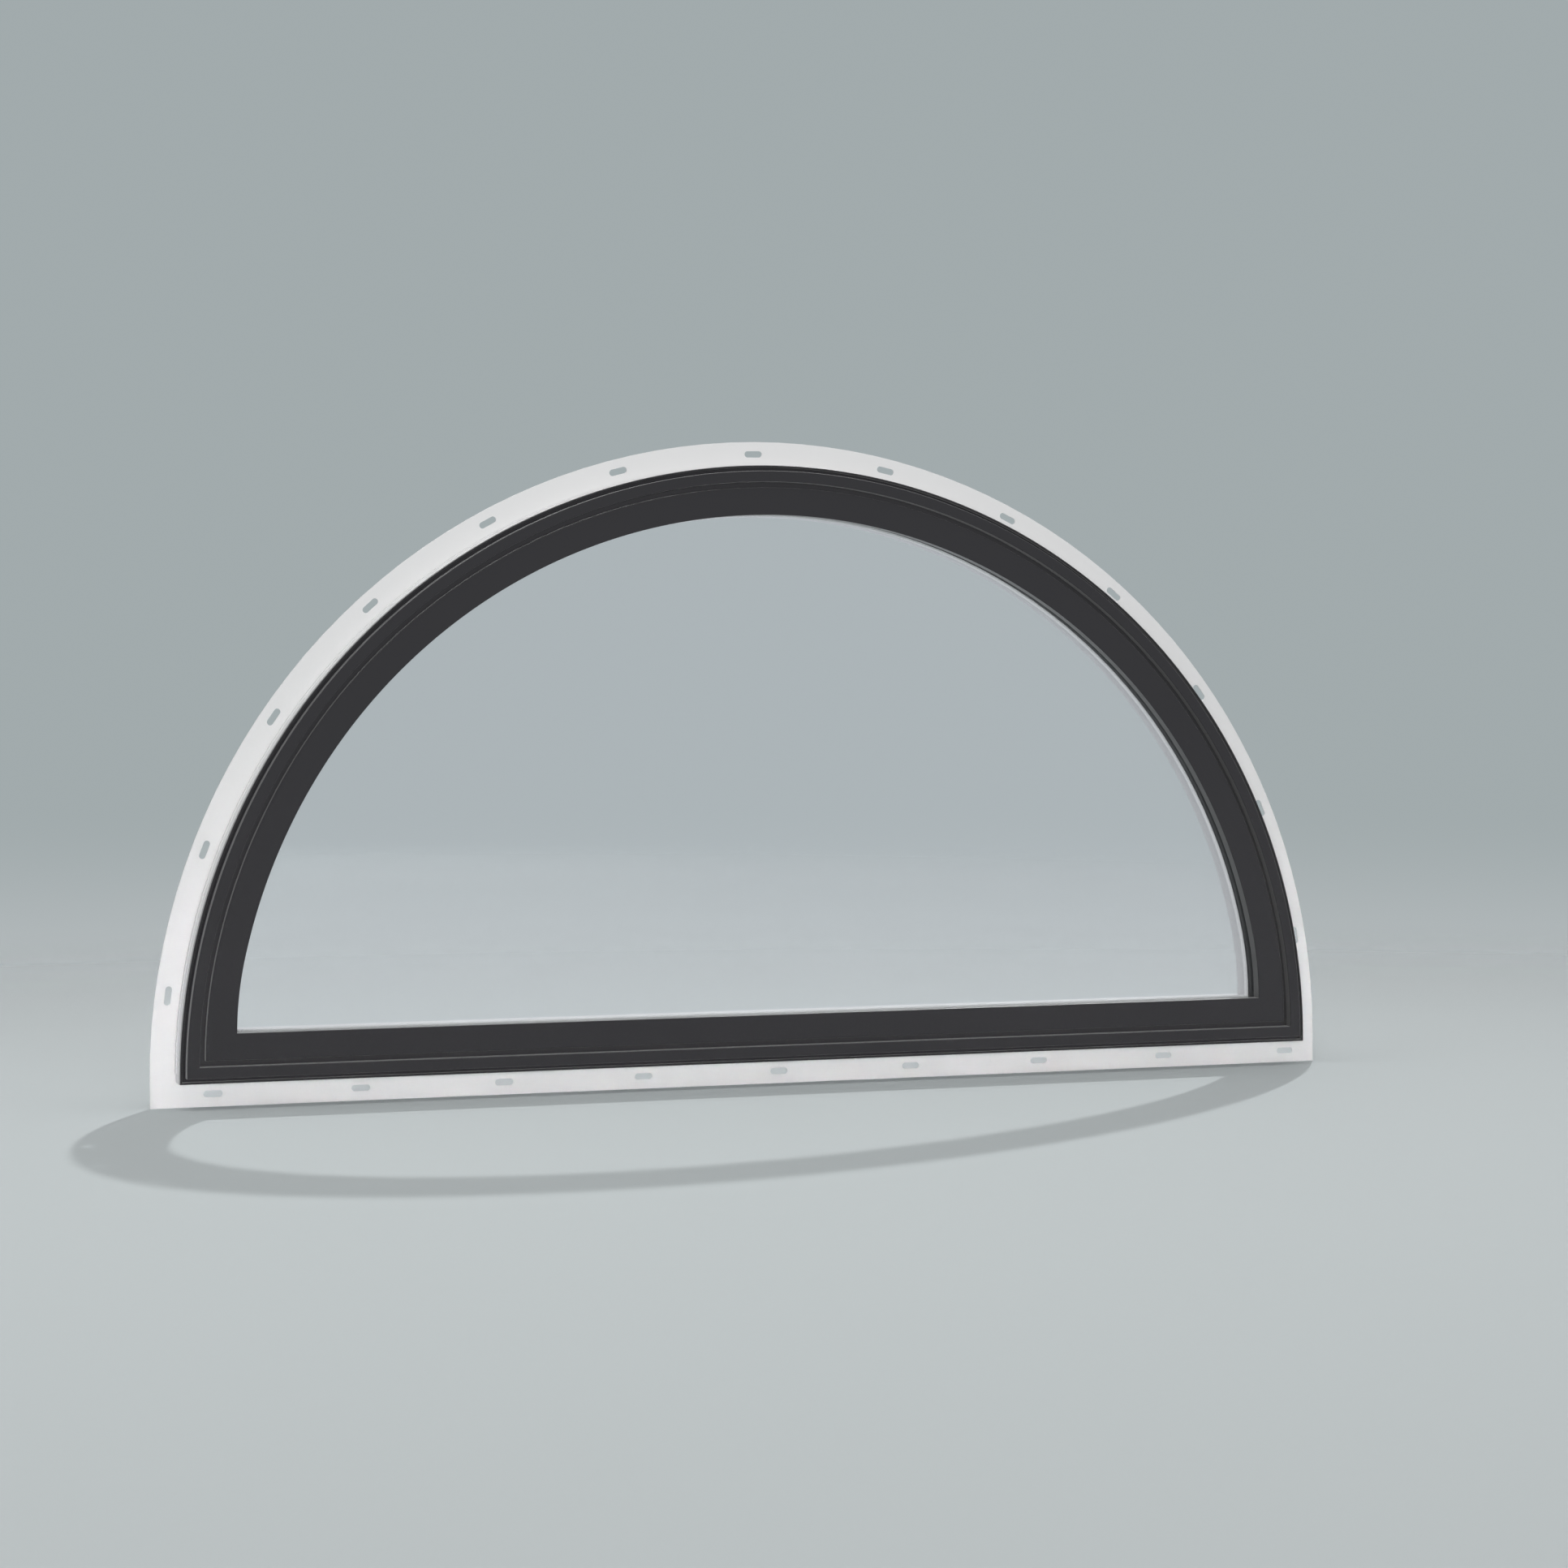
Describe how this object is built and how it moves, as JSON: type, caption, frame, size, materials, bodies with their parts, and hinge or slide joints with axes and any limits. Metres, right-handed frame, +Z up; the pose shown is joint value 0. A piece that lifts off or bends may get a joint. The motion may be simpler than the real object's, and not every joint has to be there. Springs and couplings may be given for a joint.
{
  "type": "half-round window",
  "caption": "Fixed half-round window with a slotted nailing fin, white frame, charcoal outdoor cover and sealed double glazing.",
  "frame": {"origin": "back face of the nailing fin, middle of the bottom run, on the nail line", "axes": "+X along the sill, +Y indoors (square to the fin), +Z up"},
  "size_m": [1.7588, 0.0893, 0.9169],
  "materials": {
    "vinyl_white": "satin white extrusion",
    "cover_charcoal": "satin charcoal paint",
    "seal_black": "matt",
    "sealant_black": "matt",
    "spacer_grey": "matt",
    "block_rubber": "matt",
    "glass_clear": "clear"
  },
  "bodies": {
    "root": {"nail_fin_arch": "vinyl_white", "nail_fin_sill": "vinyl_white", "frame_arch": "vinyl_white", "frame_sill": "vinyl_white", "cover_arch": "cover_charcoal", "cover_sill": "cover_charcoal", "weatherstrip_arch": "seal_black", "weatherstrip_sill": "seal_black", "sash_cover_arch": "cover_charcoal", "sash_cover_sill": "cover_charcoal", "sash_core_arch": "vinyl_white", "sash_core_sill": "vinyl_white", "glazing_stop_arch": "vinyl_white", "glazing_stop_sill": "vinyl_white", "outer_gasket_arch": "seal_black", "outer_gasket_sill": "seal_black", "inner_gasket_arch": "seal_black", "inner_gasket_sill": "seal_black", "spacer_arch": "spacer_grey", "spacer_sill": "spacer_grey", "edge_seal_arch": "sealant_black", "edge_seal_sill": "sealant_black", "outer_pane": "glass_clear", "inner_pane": "glass_clear", "setting_blocks": "block_rubber"}
  },
  "joints": []
}
